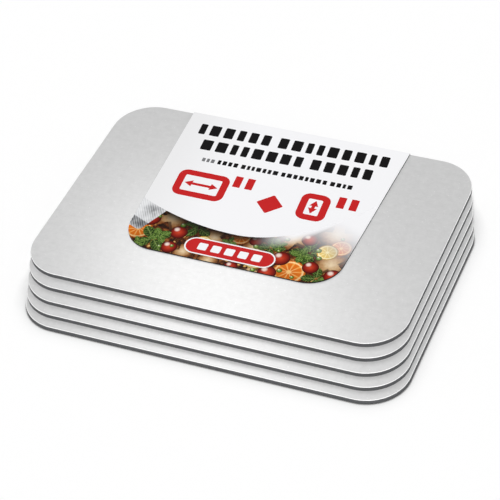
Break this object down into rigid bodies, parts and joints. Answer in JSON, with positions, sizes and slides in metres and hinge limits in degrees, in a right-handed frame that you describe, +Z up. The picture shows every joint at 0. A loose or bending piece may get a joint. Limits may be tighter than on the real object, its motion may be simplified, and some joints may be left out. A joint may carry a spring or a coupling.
{
  "type": "pack of foil-covered cardboard container lids",
  "caption": "Flat rounded foil-faced board lids for oblong foil trays, stacked in a forward fan with a tapered label card resting on the top lid.",
  "frame": {"origin": "middle of the stack's footprint box, on the surface that the bottom lid rests on", "axes": "+X along the lids' long sides, +Y towards the label card's square back edge, +Z up, out of the lids' foil faces"},
  "size_m": [0.345, 0.2716, 0.0213],
  "materials": {
    "foil_board": "satin",
    "label_stock": "satin"
  },
  "bodies": {
    "root": {"lid_1": "foil_board", "lid_2": "foil_board", "lid_3": "foil_board", "lid_4": "foil_board", "lid_5": "foil_board", "label_card": "label_stock"}
  },
  "joints": []
}
